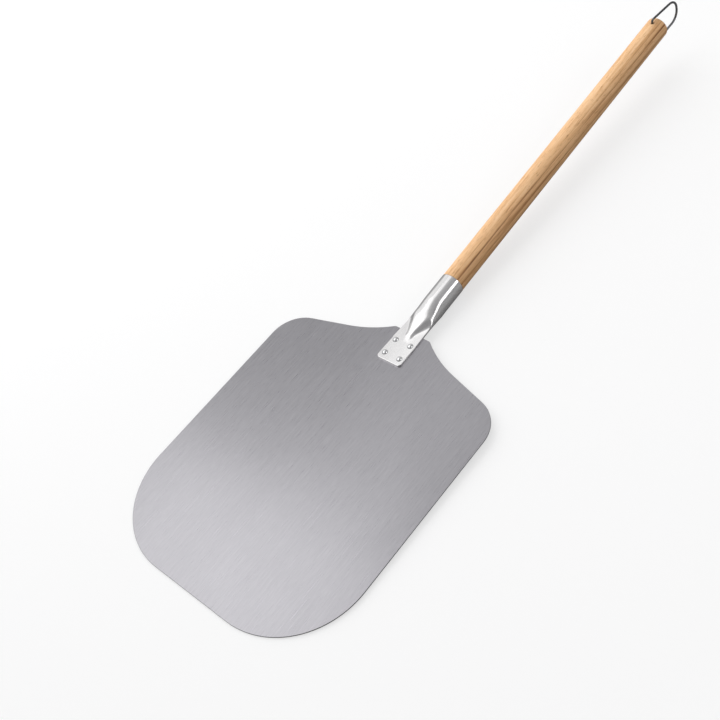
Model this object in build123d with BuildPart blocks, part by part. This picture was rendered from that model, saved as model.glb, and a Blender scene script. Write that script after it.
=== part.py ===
"""Pizza peel: a sheet-aluminium blade riveted to a pressed tube socket that holds a round
wooden handle, with a wire hanging loop hinged in a cross hole at the handle's end.

Frame: +Z up, +Y from the blade along the handle, origin at the middle of the blade's
underside. The handle rises slightly away from the plane of the blade.
"""

from build123d import *
from math import asin, cos, degrees, pi, radians, sin, sqrt, tan
import os

# ---------------------------------------------------------------- driving dimensions (mm)
BLADE_WIDTH = 305.0
BLADE_LENGTH = 364.5
BLADE_THICKNESS = 1.5
BLADE_EDGE_RADIUS = 0.35        # the sheet's cut edges are broken all round
FRONT_CORNER_RADIUS = 98.0
REAR_CORNER_RADIUS = 39.5
REAR_CORNER_START = 75.5        # from the blade's rear edge forward to the corner's start
SHOULDER_ANGLE = 15.0           # slope of the shoulder against the rear edge, degrees
SHOULDER_LENGTH = 50.0
NECK_CURVE_RADIUS = 150.0
NECK_CORNER_RADIUS = 5.0

TANG_LENGTH = 44.5              # overlap of the tang on the blade
TANG_THICKNESS = 2.4
TANG_FRONT_HALF_WIDTH = 16.75
TANG_REAR_HALF_WIDTH = 16.3
TANG_CORNER_RADIUS = 4.0
TANG_EDGE_RADIUS = 0.8
TANG_REAR_OVERLAP = 14.5        # where the flat tang ends and the pressed tube begins

RIVET_PITCH_X = 21.0
RIVET_PITCH_Y = 19.4
RIVET_FRONT_INSET = 8.5         # from the tang's front edge to the first rivets
RIVET_SHANK_RADIUS = 2.0
RIVET_HEAD_RADIUS = 3.6
RIVET_HEAD_HEIGHT = 2.2
RIVET_TAIL_RADIUS = 3.1
RIVET_TAIL_DEPTH = 1.1

HANDLE_RADIUS = 13.8
HANDLE_TILT = 3.3               # rise of the handle over the plane of the blade, degrees
HANDLE_END = 517.2              # from the blade's rear edge back to the handle's end
HANDLE_END_RADIUS = 2.0
SOCKET_MOUTH = 77.0             # from the blade's rear edge back to the socket's mouth
AXIS_HEIGHT_AT_NECK = 2.1       # handle axis over the blade's underside, at the rear edge
SOCKET_WALL = 1.5
SOCKET_LIP_RADIUS = 0.5         # rounding of the mouth's outer edge
TENON_LENGTH = 34.0
BLADE_GAP = 0.4                 # the pressed tube clears the blade's rear edge

PRESS_START = -11.0             # the rib rises from the flat tang here
PRESS_END = 41.0                # the tube is round from here back
KEEL_START = 5.0                # the underside starts to bulge here
KEEL_END = 37.0
RIB_HALF_WIDTH = 4.0
RIB_STEEPNESS = 7.0
RIB_SPREAD_START = -2.0         # the rib starts to widen here
RIB_FULL_WIDTH = 24.0           # the rib has widened to the whole tube here
RIB_FADE_START = 14.0           # the ribbed section turns into a flattened tube here
RIB_FADE_END = 26.0
WIDEN_START = -15.0             # the flanges start to widen toward the round tube here
HOLLOW_START = 17.0
SECTION_COUNT = 37
HOLLOW_COUNT = 9
SECTION_SPANS = 28              # spans between the points of each section's curves
THROUGH_MARGIN = 1.0            # through cuts run this far past the surface

SCREW_SETBACK = 16.0            # from the socket's mouth to the fixing screw
SCREW_RADIUS = 1.75
SCREW_HEAD_RADIUS = 3.2
SCREW_HEAD_DEPTH = 1.5
SCREW_LENGTH = 12.0
SCREW_SLOT_WIDTH = 0.8
SCREW_SLOT_DEPTH = 0.7

LOOP_SETBACK = 10.5             # from the handle's end to the cross hole
LOOP_WIRE_RADIUS = 1.4
LOOP_HOLE_RADIUS = 2.0
LOOP_PIN_INNER = 6.0            # the wire ends stop this far from the handle's axis
LOOP_HALF_WIDTH = 18.2
LOOP_CROWN_HALF_WIDTH = 14.2
LOOP_LENGTH = 48.1
LOOP_ELBOW_RADIUS = 3.0
LOOP_CROWN_RADIUS = 14.0
LOOP_SWING = 5.1                # the loop lies this far off the handle's line, degrees

# ---------------------------------------------------------------- derived places
REAR_EDGE = BLADE_LENGTH / 2
FRONT_EDGE = -BLADE_LENGTH / 2
HALF_WIDTH = BLADE_WIDTH / 2
TANG_FRONT = REAR_EDGE - TANG_LENGTH
TANG_TOP = BLADE_THICKNESS + TANG_THICKNESS
TANG_MIDDLE = BLADE_THICKNESS + TANG_THICKNESS / 2
RIVET_MIDDLE_Y = TANG_FRONT + RIVET_FRONT_INSET + RIVET_PITCH_Y / 2

TILT = radians(HANDLE_TILT)
ALONG = Vector(0, cos(TILT), sin(TILT))
ACROSS = Vector(0, -sin(TILT), cos(TILT))


def axis_point(setback):
    """Point of the handle's axis that lies `setback` behind the blade's rear edge."""
    return Vector(0, REAR_EDGE + setback, AXIS_HEIGHT_AT_NECK + setback * tan(TILT))


TENON_RADIUS = HANDLE_RADIUS - SOCKET_WALL
MOUTH = axis_point(SOCKET_MOUTH)
HANDLE_TIP = axis_point(HANDLE_END)
HANDLE_VISIBLE = (HANDLE_TIP - MOUTH).length
PIVOT = HANDLE_TIP - ALONG * LOOP_SETBACK

# the screw's head sits just under the round surface; its profile is (radius, depth)
SCREW_SEAT_RADIUS = sqrt(HANDLE_RADIUS**2 - SCREW_HEAD_RADIUS**2)
SCREW_SEAT = MOUTH - ALONG * SCREW_SETBACK - ACROSS * SCREW_SEAT_RADIUS
SCREW_PLANE = Plane(SCREW_SEAT, x_dir=(1, 0, 0), z_dir=-ALONG)
SCREW_AXIS = Axis(SCREW_SEAT, ACROSS)
SCREW_PROFILE = [
    (0, 0),
    (SCREW_HEAD_RADIUS, 0),
    (SCREW_RADIUS, SCREW_HEAD_DEPTH),
    (SCREW_RADIUS, SCREW_LENGTH - SCREW_RADIUS),
    (0, SCREW_LENGTH),
]
ROUND_HALF_WIDTH = sqrt(HANDLE_RADIUS**2 - TANG_THICKNESS**2 / 4)
SWUNG = ALONG * cos(radians(LOOP_SWING)) + Vector(1, 0, 0) * sin(radians(LOOP_SWING))
LOOP_PLANE = Plane(PIVOT, x_dir=SWUNG, z_dir=SWUNG.cross(ACROSS))
RIVET_PLACES = {
    "rivet_front_left": (-RIVET_PITCH_X / 2, RIVET_MIDDLE_Y - RIVET_PITCH_Y / 2),
    "rivet_front_right": (RIVET_PITCH_X / 2, RIVET_MIDDLE_Y - RIVET_PITCH_Y / 2),
    "rivet_rear_left": (-RIVET_PITCH_X / 2, RIVET_MIDDLE_Y + RIVET_PITCH_Y / 2),
    "rivet_rear_right": (RIVET_PITCH_X / 2, RIVET_MIDDLE_Y + RIVET_PITCH_Y / 2),
}

os.makedirs("parts", exist_ok=True)


def save(name, part):
    """Label one finished piece and write its STEP file."""
    part.label = name
    export_step(part, f"parts/{name}.step")


# ---------------------------------------------------------------- blade
shoulder_height = NECK_CURVE_RADIUS * cos(radians(SHOULDER_ANGLE))
with BuildPart() as blade:
    with BuildSketch() as outline:
        with BuildLine() as right_half:
            front = Line((0, FRONT_EDGE), (HALF_WIDTH - FRONT_CORNER_RADIUS, FRONT_EDGE))
            front_corner = JernArc(front @ 1, (1, 0), FRONT_CORNER_RADIUS, 90)
            side = Line(front_corner @ 1, (HALF_WIDTH, REAR_EDGE - REAR_CORNER_START))
            rear_corner = JernArc(side @ 1, (0, 1), REAR_CORNER_RADIUS, 90 - SHOULDER_ANGLE)
            shoulder = PolarLine(rear_corner @ 1, SHOULDER_LENGTH, 180 - SHOULDER_ANGLE)
            centre_height = (shoulder @ 1).Y + shoulder_height - REAR_EDGE
            neck_turn = 90 - SHOULDER_ANGLE - degrees(asin(centre_height / NECK_CURVE_RADIUS))
            neck_curve = JernArc(shoulder @ 1, shoulder % 1, NECK_CURVE_RADIUS, -neck_turn)
            rear = Line(neck_curve @ 1, (0, REAR_EDGE))
            Line(rear @ 1, front @ 0)
        make_face()
        mirror(about=Plane.YZ)
        fillet(outline.vertices().group_by(Axis.Y)[-1], NECK_CORNER_RADIUS)
    extrude(amount=BLADE_THICKNESS)
    faces_by_height = blade.faces().sort_by(Axis.Z)
    fillet(faces_by_height[0].edges() + faces_by_height[-1].edges(), BLADE_EDGE_RADIUS)
    with Locations((0, RIVET_MIDDLE_Y, 0)):
        with GridLocations(RIVET_PITCH_X, RIVET_PITCH_Y, 2, 2):
            Cylinder(
                RIVET_SHANK_RADIUS,
                BLADE_THICKNESS,
                align=(Align.CENTER, Align.CENTER, Align.MIN),
                mode=Mode.SUBTRACT,
            )
            Cone(
                RIVET_TAIL_RADIUS,
                RIVET_SHANK_RADIUS,
                RIVET_TAIL_DEPTH,
                align=(Align.CENTER, Align.CENTER, Align.MIN),
                mode=Mode.SUBTRACT,
            )
save("blade", blade.part)


# ---------------------------------------------------------------- socket
SIDE = TANG_THICKNESS / 2       # half the height of each section's upright sides


def ramp(setback, start, end, ease=0.12):
    """0 before `start`, 1 behind `end`, straight between them and rounded at both ends."""
    share = (setback - start) / (end - start)
    if share < ease:
        return max(0.0, share + ease) ** 2 / (4 * ease)
    if share > 1 - ease:
        return 1 - max(0.0, 1 + ease - share) ** 2 / (4 * ease)
    return share


def blend(first, second, share):
    """Value that goes from `first` to `second` as `share` goes from 0 to 1."""
    return first + (second - first) * share


def ellipse_rise(x, half_width, rise):
    """Height over the section's middle of a half ellipse that ends at the side face."""
    return SIDE + (rise - SIDE) * sqrt(max(0.0, 1 - (x / half_width) ** 2))


def rib_rise(x, middle, rise):
    """Height over the section's middle of a rounded rib that fades into flat flanges."""
    return SIDE + (rise - SIDE) / (1 + (abs(x) / middle) ** RIB_STEEPNESS)


def tube_section(setback, inset=0.0):
    """Section of the pressed tube: flat at the tang, ribbed behind it, then round.

    With an `inset` it is the section of the hollow inside.
    """
    roundness = ramp(setback, PRESS_START, PRESS_END)
    depth = ramp(setback, KEEL_START, KEEL_END)
    level = ramp(setback, 0, PRESS_END)
    half_width = blend(TANG_REAR_HALF_WIDTH, ROUND_HALF_WIDTH, ramp(setback, WIDEN_START, PRESS_END))
    half_width -= inset
    rise = blend(SIDE, HANDLE_RADIUS, roundness) - inset
    drop = blend(SIDE, HANDLE_RADIUS, depth) - inset
    widening = ramp(setback, RIB_SPREAD_START, RIB_FULL_WIDTH)
    rib_middle = blend(RIB_HALF_WIDTH, HANDLE_RADIUS, widening)
    ribbed = 1 - ramp(setback, RIB_FADE_START, RIB_FADE_END)
    height = blend(TANG_MIDDLE, axis_point(setback).Z, level)
    tilt = TILT * level
    plane = Plane(
        (0, REAR_EDGE + setback, height),
        x_dir=(1, 0, 0),
        z_dir=(0, -cos(tilt), -sin(tilt)),
    )
    steps = [-cos(pi * i / SECTION_SPANS) * half_width for i in range(SECTION_SPANS + 1)]
    upper = [
        (x, blend(ellipse_rise(x, half_width, rise), rib_rise(x, rib_middle, rise), ribbed))
        for x in steps
    ]
    lower = [(x, -ellipse_rise(x, half_width, drop)) for x in reversed(steps)]
    with BuildSketch(plane) as section:
        with BuildLine():
            top = Spline(upper)
            bottom = Spline(lower)
            Line(top @ 1, bottom @ 0)
            Line(bottom @ 1, top @ 0)
        make_face()
    return section.sketch.face()


def sections_between(first, last, count, inset=0.0):
    """Evenly spaced sections along the tube."""
    return [tube_section(blend(first, last, i / (count - 1)), inset) for i in range(count)]


with BuildPart() as socket:
    # flat tang that lies on the blade
    with BuildSketch(Plane.XY.offset(BLADE_THICKNESS)) as tang:
        tang_rear = REAR_EDGE - TANG_REAR_OVERLAP
        with BuildLine():
            Polyline(
                (-TANG_FRONT_HALF_WIDTH, TANG_FRONT),
                (TANG_FRONT_HALF_WIDTH, TANG_FRONT),
                (TANG_REAR_HALF_WIDTH, tang_rear),
                (-TANG_REAR_HALF_WIDTH, tang_rear),
                close=True,
            )
        make_face()
        fillet(tang.vertices().group_by(Axis.Y)[0], TANG_CORNER_RADIUS)
    extrude(amount=TANG_THICKNESS)
    top_edges = socket.edges().group_by(Axis.Z)[-1]
    fillet(top_edges.sort_by(Axis.Y)[:-1], TANG_EDGE_RADIUS)
    # pressed tube, from the flat tang back to the round mouth
    loft(sections=sections_between(-TANG_REAR_OVERLAP, SOCKET_MOUTH, SECTION_COUNT))
    tenon_end = SOCKET_MOUTH - TENON_LENGTH
    loft(
        sections=sections_between(HOLLOW_START, tenon_end, HOLLOW_COUNT, SOCKET_WALL),
        mode=Mode.SUBTRACT,
    )
    # the tang keeps clear of the blade
    with Locations((0, REAR_EDGE + BLADE_GAP, BLADE_THICKNESS)):
        Box(
            BLADE_WIDTH,
            2 * TANG_LENGTH,
            BLADE_THICKNESS,
            align=(Align.CENTER, Align.MAX, Align.MAX),
            mode=Mode.SUBTRACT,
        )
    # bore for the handle's tenon
    with BuildSketch(Plane(MOUTH, x_dir=(1, 0, 0), z_dir=-ALONG)):
        Circle(TENON_RADIUS)
    extrude(amount=TENON_LENGTH, mode=Mode.SUBTRACT)
    # rounded outer edge of the mouth
    with BuildSketch(Plane(MOUTH, x_dir=ACROSS, z_dir=(1, 0, 0))):
        with Locations((HANDLE_RADIUS, 0)):
            Rectangle(2 * SOCKET_LIP_RADIUS, 2 * SOCKET_LIP_RADIUS)
        with Locations((HANDLE_RADIUS - SOCKET_LIP_RADIUS, SOCKET_LIP_RADIUS)):
            Circle(SOCKET_LIP_RADIUS, mode=Mode.SUBTRACT)
    revolve(axis=Axis(MOUTH, ALONG), mode=Mode.SUBTRACT)
    # rivet holes
    with Locations((0, RIVET_MIDDLE_Y, BLADE_THICKNESS)):
        with GridLocations(RIVET_PITCH_X, RIVET_PITCH_Y, 2, 2):
            Cylinder(
                RIVET_SHANK_RADIUS,
                TANG_THICKNESS,
                align=(Align.CENTER, Align.CENTER, Align.MIN),
                mode=Mode.SUBTRACT,
            )
    # countersunk hole for the fixing screw, through the wall at the underside
    with BuildSketch(SCREW_PLANE):
        with BuildLine():
            Polyline(SCREW_PROFILE, close=True)
        make_face()
    revolve(axis=SCREW_AXIS, mode=Mode.SUBTRACT)
save("socket", socket.part)


# ---------------------------------------------------------------- rivets
def build_rivet(x, y):
    """Domed rivet through tang and blade, its tail flush with the blade's underside."""
    dome_radius = (RIVET_HEAD_RADIUS**2 + RIVET_HEAD_HEIGHT**2) / (2 * RIVET_HEAD_HEIGHT)
    dome_turn = degrees(asin(RIVET_HEAD_RADIUS / dome_radius))
    with BuildPart() as rivet:
        with BuildSketch(Plane((x, y, 0), x_dir=(1, 0, 0), z_dir=(0, -1, 0))):
            with BuildLine():
                dome = JernArc((0, TANG_TOP + RIVET_HEAD_HEIGHT), (1, 0), dome_radius, -dome_turn)
                Polyline(
                    dome @ 1,
                    (RIVET_SHANK_RADIUS, TANG_TOP),
                    (RIVET_SHANK_RADIUS, RIVET_TAIL_DEPTH),
                    (RIVET_TAIL_RADIUS, 0),
                    (0, 0),
                    dome @ 0,
                )
            make_face()
        revolve(axis=Axis((x, y, 0), (0, 0, 1)))
    return rivet.part


for rivet_name, (rivet_x, rivet_y) in RIVET_PLACES.items():
    save(rivet_name, build_rivet(rivet_x, rivet_y))


# ---------------------------------------------------------------- handle
with BuildPart() as handle:
    with BuildSketch(Plane(MOUTH, x_dir=(1, 0, 0), z_dir=ALONG)):
        Circle(HANDLE_RADIUS)
    extrude(amount=HANDLE_VISIBLE)
    fillet(handle.edges().sort_by(Axis.Y)[-1], HANDLE_END_RADIUS)
    with BuildSketch(Plane(MOUTH, x_dir=(1, 0, 0), z_dir=-ALONG)):
        Circle(TENON_RADIUS)
    extrude(amount=TENON_LENGTH)
    # cross hole for the hanging loop
    with BuildSketch(Plane(PIVOT, x_dir=(1, 0, 0), z_dir=ACROSS)):
        Circle(LOOP_HOLE_RADIUS)
    extrude(amount=HANDLE_RADIUS + THROUGH_MARGIN, both=True, mode=Mode.SUBTRACT)
    # pilot hole for the fixing screw
    with BuildSketch(SCREW_PLANE):
        with BuildLine():
            Polyline(SCREW_PROFILE, close=True)
        make_face()
    revolve(axis=SCREW_AXIS, mode=Mode.SUBTRACT)
save("handle", handle.part)


# ---------------------------------------------------------------- fixing screw
with BuildPart() as handle_screw:
    with BuildSketch(SCREW_PLANE):
        with BuildLine():
            Polyline(SCREW_PROFILE, close=True)
        make_face()
    revolve(axis=SCREW_AXIS)
    # driving slot
    with BuildSketch(Plane(SCREW_SEAT, x_dir=(1, 0, 0), z_dir=ACROSS)):
        Rectangle(2 * SCREW_HEAD_RADIUS, SCREW_SLOT_WIDTH)
    extrude(amount=SCREW_SLOT_DEPTH, mode=Mode.SUBTRACT)
save("handle_screw", handle_screw.part)


# ---------------------------------------------------------------- hanging loop
with BuildPart() as hanging_loop:
    with BuildLine(LOOP_PLANE) as wire:
        FilletPolyline(
            (0, LOOP_PIN_INNER),
            (0, LOOP_HALF_WIDTH),
            (LOOP_LENGTH, LOOP_CROWN_HALF_WIDTH),
            (LOOP_LENGTH, -LOOP_CROWN_HALF_WIDTH),
            (0, -LOOP_HALF_WIDTH),
            (0, -LOOP_PIN_INNER),
            radius=[LOOP_ELBOW_RADIUS, LOOP_CROWN_RADIUS, LOOP_CROWN_RADIUS, LOOP_ELBOW_RADIUS],
        )
    with BuildSketch(Plane(wire.line @ 0, z_dir=wire.line % 0)):
        Circle(LOOP_WIRE_RADIUS)
    sweep(path=wire.line)
save("hanging_loop", hanging_loop.part)
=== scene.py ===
"""Looks of the pizza peel: materials, floor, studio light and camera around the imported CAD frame.

Lengths are in metres and angles in degrees. Every CAD node keeps its own shape.
"""

from math import atan2, cos, pi, radians, sin

import bpy
from mathutils import Matrix, Vector


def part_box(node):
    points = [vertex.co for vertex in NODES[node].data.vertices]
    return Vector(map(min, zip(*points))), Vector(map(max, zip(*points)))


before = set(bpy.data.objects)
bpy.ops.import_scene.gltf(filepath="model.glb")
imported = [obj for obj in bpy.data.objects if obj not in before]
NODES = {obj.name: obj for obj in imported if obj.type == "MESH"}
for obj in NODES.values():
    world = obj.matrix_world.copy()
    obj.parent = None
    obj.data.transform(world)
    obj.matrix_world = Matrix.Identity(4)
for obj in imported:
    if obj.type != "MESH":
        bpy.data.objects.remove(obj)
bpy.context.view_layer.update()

# ---------------------------------------------------------------- driving values
CAMERA_PLACE = Vector((0.62994, -0.26312, 0.87463))
CAMERA_AZIMUTH = 59.55
CAMERA_ELEVATION = 48.73
CAMERA_ROLL = 25.02
LENS = 52.85
SENSOR = 36.0

FLOOR_SIZE = 14.0
FLOOR_GAP = 0.0002              # the floor lies this far under the points that rest on it
FLOOR_COLOR = (0.34, 0.34, 0.34, 1)
FLOOR_GLOW = 0.635
BACKDROP = (0.97, 0.97, 0.97, 1)

BRIGHT_AZIMUTH = 165.0          # the studio is brightest towards this side; 0 is +X, 90 is +Y
BRIGHT_ELEVATION = 30.0
STUDIO_HORIZON = (0.33, 0.33, 0.33)
STUDIO_TONES = [                # brightness by the cosine from the bright side, as (1 + cosine) / 2
    (0.40, (0.26, 0.26, 0.265)),
    (0.77, (0.43, 0.43, 0.435)),
    (0.95, (0.71, 0.71, 0.715)),
    (1.00, (0.88, 0.88, 0.885)),
]

HANDLE_RISE = -3.3              # turns the handle level for its grain
GRAIN_SLANT = 0.5
GRAIN_TURN = -34.0              # about the handle, to lay the grain out over its width
GRAIN_LINES = 158.0             # lines of late wood in a metre of width
GRAIN_SHIFT = 0.53              # of the space between two lines
HANDLE_MIDDLE = 0.0047          # the handle's middle on the turned width

RIVETS = ("rivet_front_left", "rivet_front_right", "rivet_rear_left", "rivet_rear_right")


# ---------------------------------------------------------------- node helpers
def add(tree, kind, inputs=None, **settings):
    """New node with its settings; each input takes a plain value or another node's socket."""
    node = tree.nodes.new(kind)
    for key, value in settings.items():
        setattr(node, key, value)
    for key, value in (inputs or {}).items():
        if isinstance(value, bpy.types.NodeSocket):
            tree.links.new(value, node.inputs[key])
        else:
            node.inputs[key].default_value = value
    return node


def placed(tree, scale=(1, 1, 1), rotation=(0, 0, 0)):
    """The object's own coordinates, turned and stretched."""
    place = add(tree, "ShaderNodeTexCoord").outputs["Object"]
    turn = tuple(radians(angle) for angle in rotation)
    inputs = {"Vector": place, "Rotation": turn, "Scale": scale}
    return add(tree, "ShaderNodeMapping", inputs).outputs["Vector"]


def noise(tree, vector, scale, detail=3.0, roughness=0.5):
    """Noise from 0 to 1 over a vector."""
    inputs = {"Vector": vector, "Scale": scale, "Detail": detail, "Roughness": roughness}
    return add(tree, "ShaderNodeTexNoise", inputs).outputs[0]


def spread(tree, value, low, high, start=0.3, end=0.7):
    """A value taken from the span start..end to the span low..high, and held at its ends."""
    inputs = {"Value": value, "From Min": start, "From Max": end, "To Min": low, "To Max": high}
    return add(tree, "ShaderNodeMapRange", inputs).outputs["Result"]


def math(tree, operation, *values):
    """One arithmetic step."""
    node = add(tree, "ShaderNodeMath", operation=operation)
    for socket, value in zip(node.inputs, values):
        if isinstance(value, bpy.types.NodeSocket):
            tree.links.new(value, socket)
        else:
            socket.default_value = value
    return node.outputs[0]


def ramp(tree, factor, stops):
    """Colour from a ramp given as (place, colour) stops."""
    node = add(tree, "ShaderNodeValToRGB", {"Fac": factor})
    elements = node.color_ramp.elements
    while len(elements) < len(stops):
        elements.new(0.5)
    for element, (place, color) in zip(elements, stops):
        element.position = place
        element.color = (*color, 1)
    return node.outputs["Color"]


def multiply(tree, first, second):
    """Product of two colours."""
    node = add(tree, "ShaderNodeMix", data_type="RGBA", blend_type="MULTIPLY")
    node.inputs["Factor"].default_value = 1.0
    tree.links.new(first, node.inputs["A"])
    tree.links.new(second, node.inputs["B"])
    return node.outputs["Result"]


def bump(tree, height, distance, strength=1.0):
    """Normal from a height."""
    inputs = {"Height": height, "Distance": distance, "Strength": strength}
    return add(tree, "ShaderNodeBump", inputs).outputs["Normal"]


def material(name, build):
    """Node material whose one Principled shader gets the sockets that build(tree) returns."""
    made = bpy.data.materials.new(name)
    made.use_nodes = True
    tree = made.node_tree
    tree.nodes.clear()
    shader = add(tree, "ShaderNodeBsdfPrincipled", build(tree))
    add(tree, "ShaderNodeOutputMaterial", {"Surface": shader.outputs["BSDF"]})
    return made


# ---------------------------------------------------------------- materials
def blade_metal(tree):
    """Satin sheet aluminium, finely brushed along its length, with faint handling scratches."""
    fine = noise(tree, placed(tree, (1, 0.035, 1)), 2600, 2)
    broad = noise(tree, placed(tree, (1, 0.03, 1)), 620, 3)
    cloud = noise(tree, placed(tree), 14, 3)
    scratched = noise(tree, placed(tree, (1, 0.02, 1), (0, 0, 24)), 900, 1)
    scratch = spread(tree, scratched, 0, 1, 0.70, 0.74)
    fine_share = math(tree, "MULTIPLY", fine, 0.6)
    brushed = math(tree, "ADD", fine_share, math(tree, "MULTIPLY", broad, 0.4))
    tone = ramp(
        tree,
        spread(tree, brushed, 0, 1),
        [(0, (0.310, 0.304, 0.322)), (1, (0.415, 0.407, 0.427))],
    )
    patch = ramp(tree, spread(tree, cloud, 0, 1), [(0, (0.96, 0.96, 0.96)), (1, (1.0, 1.0, 1.0))])
    rough = math(tree, "ADD", spread(tree, brushed, 0.26, 0.35), math(tree, "MULTIPLY", scratch, -0.05))
    height = math(tree, "SUBTRACT", brushed, math(tree, "MULTIPLY", scratch, 0.25))
    return {
        "Base Color": multiply(tree, tone, patch),
        "Metallic": 1.0,
        "Roughness": rough,
        "Normal": bump(tree, height, 0.00003),
    }


def socket_metal(tree):
    """Bright drawn aluminium with faint draw lines and a speckle from pressing."""
    lines = noise(tree, placed(tree, (1, 0.02, 1)), 1500, 2)
    speckle = noise(tree, placed(tree), 900, 2)
    cloud = noise(tree, placed(tree), 60, 3)
    drawn = math(tree, "MULTIPLY", lines, 0.6)
    mixed = math(tree, "ADD", drawn, math(tree, "MULTIPLY", speckle, 0.4))
    tone = ramp(tree, spread(tree, mixed, 0, 1), [(0, (0.86, 0.85, 0.85)), (1, (0.96, 0.95, 0.945))])
    return {
        "Base Color": tone,
        "Metallic": 1.0,
        "Roughness": spread(tree, cloud, 0.16, 0.23),
        "Normal": bump(tree, mixed, 0.000012),
    }


def rivet_metal(tree):
    """Smooth set rivet with a few dull marks from the setting tool."""
    marks = noise(tree, placed(tree), 1400, 3)
    return {
        "Base Color": ramp(
            tree,
            spread(tree, marks, 0, 1),
            [(0, (0.82, 0.82, 0.83)), (1, (0.92, 0.92, 0.92))],
        ),
        "Metallic": 1.0,
        "Roughness": spread(tree, marks, 0.07, 0.16),
        "Normal": bump(tree, marks, 0.00001),
    }


def screw_metal(tree):
    """Plain bright steel with turning marks."""
    marks = noise(tree, placed(tree), 2200, 2)
    return {
        "Base Color": ramp(tree, marks, [(0.3, (0.50, 0.50, 0.51)), (0.7, (0.66, 0.66, 0.67))]),
        "Metallic": 1.0,
        "Roughness": spread(tree, marks, 0.22, 0.36),
        "Normal": bump(tree, marks, 0.00001),
    }


def loop_metal(tree):
    """Bright plated wire whose colour is darkened as a painted dark reflection of the studio, with a
    faint grain.
    """
    marks = noise(tree, placed(tree), 1100, 3)
    return {
        # painted reflection: the base colour is kept dark to stand in for the dark surroundings the
        # wire reflects
        "Base Color": ramp(tree, marks, [(0.3, (0.13, 0.13, 0.135)), (0.7, (0.25, 0.25, 0.26))]),
        "Metallic": 1.0,
        "Roughness": spread(tree, marks, 0.06, 0.14),
        "Normal": bump(tree, marks, 0.000008),
    }


def handle_wood(tree):
    """Straight-grained light wood: a few dark late-wood lines, fine fibre between, short pores, and
    painted shade that darkens the side of the handle turned away from the key light.
    """
    turned = (HANDLE_RISE, 0, GRAIN_SLANT)
    rings = placed(tree, (1, 1, 1), (HANDLE_RISE, GRAIN_TURN, GRAIN_SLANT))
    across = add(tree, "ShaderNodeSeparateXYZ", {"Vector": rings}).outputs["X"]
    drift = noise(tree, placed(tree, (1, 0.06, 1), turned), 26, 1)
    even = math(tree, "MULTIPLY_ADD", across, GRAIN_LINES, GRAIN_SHIFT)
    bands = math(tree, "MULTIPLY_ADD", drift, 1.1, even)
    # painted shade: the wood darkens across the turned width towards the side of the handle away from
    # the key light
    painted_side_shade = spread(tree, across, 0, 1, HANDLE_MIDDLE - 0.004, HANDLE_MIDDLE + 0.010)
    marked = spread(tree, across, 0.18, 1, HANDLE_MIDDLE - 0.008, HANDLE_MIDDLE - 0.002)
    year = math(tree, "FRACT", bands)
    late = math(tree, "POWER", year, 3.4)
    strength = noise(tree, placed(tree, (1, 0.02, 1), turned), 95, 1)
    late = math(tree, "MULTIPLY", late, spread(tree, strength, 0.35, 1.0, 0.38, 0.62))
    late = math(tree, "MULTIPLY", late, marked)
    streak = spread(tree, noise(tree, placed(tree, (1, 0.012, 1), turned), 420, 3), 0, 1)
    fibre = noise(tree, placed(tree, (1, 0.02, 1), turned), 1500, 3, 0.6)
    pore = spread(tree, noise(tree, placed(tree, (1, 0.04, 1), turned), 1900, 1), 0, 1, 0.62, 0.70)
    plain = math(tree, "MULTIPLY_ADD", streak, 0.30, math(tree, "MULTIPLY", fibre, 0.16))
    figure = math(tree, "MULTIPLY_ADD", late, 0.78, plain)
    figure = math(tree, "MULTIPLY_ADD", painted_side_shade, 0.17, figure)
    tone = ramp(
        tree,
        figure,
        [
            (0.10, (0.95, 0.615, 0.340)),
            (0.34, (0.83, 0.480, 0.225)),
            (0.60, (0.50, 0.225, 0.080)),
            (0.90, (0.20, 0.065, 0.018)),
        ],
    )
    pores = ramp(tree, pore, [(0, (1, 1, 1)), (1, (0.66, 0.55, 0.46))])
    relief = math(tree, "MULTIPLY_ADD", pore, -0.8, fibre)
    return {
        "Base Color": multiply(tree, tone, pores),
        "Roughness": spread(tree, fibre, 0.42, 0.58),
        "Specular IOR Level": 0.40,
        "Normal": bump(tree, relief, 0.00008, 0.6),
    }


def finish_nodes():
    """Each CAD node takes the material of its slot."""
    looks = {
        "blade": material("blade_metal", blade_metal),
        "socket": material("socket_metal", socket_metal),
        "handle": material("handle_wood", handle_wood),
        "handle_screw": material("screw_metal", screw_metal),
        "hanging_loop": material("loop_metal", loop_metal),
    }
    rivet_look = material("rivet_metal", rivet_metal)
    looks.update({name: rivet_look for name in RIVETS})
    for name, look in looks.items():
        mesh = NODES[name].data
        mesh.materials.clear()
        mesh.materials.append(look)


# ---------------------------------------------------------------- stage
def rest_slope(front):
    """Slope of the plane from the blade's front edge that just touches the socket's underside."""
    points = [vertex.co for vertex in NODES["socket"].data.vertices]
    return min((point.z - front.z) / (point.y - front.y) for point in points)


def floor_paint(tree):
    """Matt pale floor; the glow that takes it to white doesn't light the object."""
    seen = add(tree, "ShaderNodeLightPath").outputs["Is Camera Ray"]
    return {
        "Base Color": FLOOR_COLOR,
        "Roughness": 0.9,
        "Specular IOR Level": 0.0,
        "Emission Color": (1, 1, 1, 1),
        "Emission Strength": math(tree, "MULTIPLY", seen, FLOOR_GLOW),
    }


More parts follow.
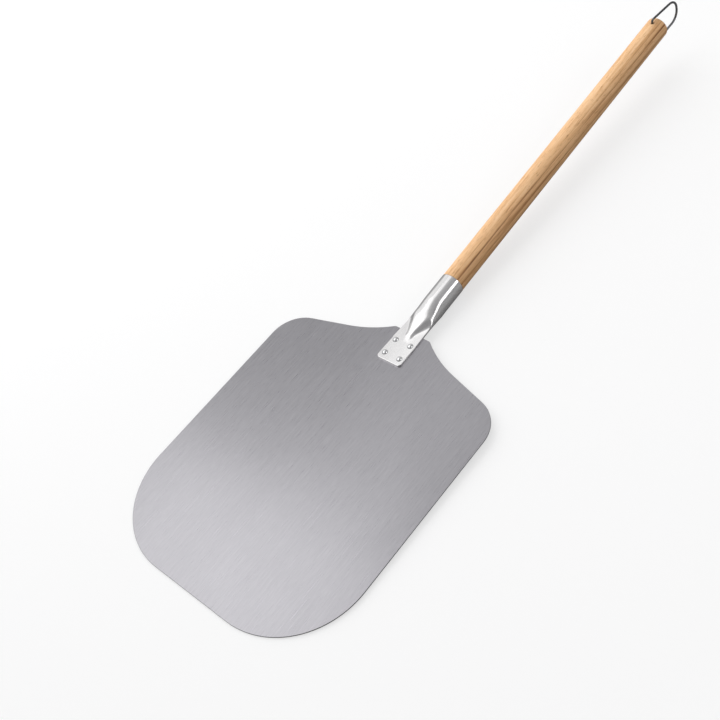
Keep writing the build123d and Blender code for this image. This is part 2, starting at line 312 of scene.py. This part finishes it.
def build_floor():
    """Plain pale floor that the blade's front edge and the socket's bulge rest on."""
    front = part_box("blade")[0]
    turn = Matrix.Rotation(atan2(rest_slope(front), 1), 4, "X")
    half = FLOOR_SIZE / 2
    corners = [(-half, -half, 0), (half, -half, 0), (half, half, 0), (-half, half, 0)]
    place = Vector((0, front.y, front.z - FLOOR_GAP))
    mesh = bpy.data.meshes.new("floor")
    mesh.from_pydata([place + turn @ Vector(corner) for corner in corners], [], [(0, 1, 2, 3)])
    floor = bpy.data.objects.new("floor", mesh)
    bpy.context.collection.objects.link(floor)
    mesh.materials.append(material("floor_paint", floor_paint))


def toward(azimuth, elevation):
    """Unit vector in a direction; azimuth 0 is +X and 90 is +Y."""
    a, e = radians(azimuth), radians(elevation)
    return Vector((cos(a) * cos(e), sin(a) * cos(e), sin(e)))


def build_world():
    """Soft studio, brighter on one side; the camera itself sees a plain pale backdrop."""
    world = bpy.data.worlds.new("studio")
    bpy.context.scene.world = world
    world.use_nodes = True
    tree = world.node_tree
    tree.nodes.clear()
    direction = add(tree, "ShaderNodeTexCoord").outputs["Generated"]
    facing = add(tree, "ShaderNodeVectorMath", {0: direction}, operation="DOT_PRODUCT")
    facing.inputs[1].default_value = toward(BRIGHT_AZIMUTH, BRIGHT_ELEVATION)
    share = math(tree, "MULTIPLY_ADD", facing.outputs["Value"], 0.5, 0.5)
    height = add(tree, "ShaderNodeSeparateXYZ", {"Vector": direction}).outputs["Z"]
    risen = spread(tree, height, 0, 1, 0.02, 0.30)
    sky = add(tree, "ShaderNodeMix", data_type="RGBA")
    tree.links.new(risen, sky.inputs["Factor"])
    sky.inputs["A"].default_value = (*STUDIO_HORIZON, 1)
    tree.links.new(ramp(tree, share, STUDIO_TONES), sky.inputs["B"])
    light = add(tree, "ShaderNodeBackground", {"Color": sky.outputs["Result"]})
    pale = add(tree, "ShaderNodeBackground", {"Color": BACKDROP})
    seen = add(tree, "ShaderNodeLightPath").outputs["Is Camera Ray"]
    both = add(tree, "ShaderNodeMixShader", {0: seen, 1: light.outputs[0], 2: pale.outputs[0]})
    add(tree, "ShaderNodeOutputWorld", {"Surface": both.outputs[0]})


def area_light(name, place, aim, size, radiance, glossy=True, diffuse=True):
    """Soft rectangular light of an even brightness, at `place` and turned to `aim`."""
    data = bpy.data.lights.new(name, "AREA")
    data.shape = "RECTANGLE"
    data.size, data.size_y = size
    data.energy = radiance * pi * size[0] * size[1]
    light = bpy.data.objects.new(name, data)
    light.location = place
    light.rotation_mode = "QUATERNION"
    light.rotation_quaternion = (place - aim).to_track_quat("Z", "Y")
    light.visible_camera = False
    light.visible_glossy = glossy
    light.visible_diffuse = diffuse
    bpy.context.collection.objects.link(light)


def build_lights():
    """Soft studio lights.

    Key and fill light dull surfaces only. The strip lights all, and the crest light and the two
    panels over the blade are seen in reflections only.
    """
    low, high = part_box("socket")
    aim = (low + high) / 2
    blade = sum(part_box("blade"), Vector((0, 0, 0))) / 2
    area_light("key", aim + 1.7 * toward(165, 36), aim, (2.6, 2.2), 1.75, glossy=False)
    area_light("fill", aim + 2.4 * toward(90, 88), aim, (3.0, 3.0), 0.25, glossy=False)
    area_light("strip", aim + 1.6 * toward(25, 33), aim, (1.3, 0.52), 1.7)
    area_light("crest", aim + 1.6 * toward(188, 55), aim, (0.75, 0.60), 0.42, diffuse=False)
    up = Vector((0, 0, 1))
    front = blade + Vector((-0.34, -0.18, 0.50))
    area_light("panel", front, front - up, (0.74, 0.5), 0.84, diffuse=False)
    beside = blade + Vector((-0.21, 0.12, 0.50))
    area_light("side_panel", beside, beside - up, (0.26, 0.7), 0.42, diffuse=False)


def build_camera():
    """Camera at the reference viewing angle."""
    data = bpy.data.cameras.new("camera")
    data.lens = LENS
    data.sensor_width = SENSOR
    camera = bpy.data.objects.new("camera", data)
    a, e = radians(CAMERA_AZIMUTH), radians(CAMERA_ELEVATION)
    back = Vector((sin(a) * cos(e), -cos(a) * cos(e), sin(e)))
    right = Vector((cos(a), sin(a), 0))
    level = Matrix((right, back.cross(right), back)).transposed()
    turned = Matrix.Rotation(radians(-CAMERA_ROLL), 3, back) @ level
    camera.matrix_world = Matrix.Translation(CAMERA_PLACE) @ turned.to_4x4()
    bpy.context.collection.objects.link(camera)
    bpy.context.scene.camera = camera


finish_nodes()
build_floor()
build_world()
build_lights()
build_camera()
bpy.context.scene.view_settings.view_transform = "Standard"
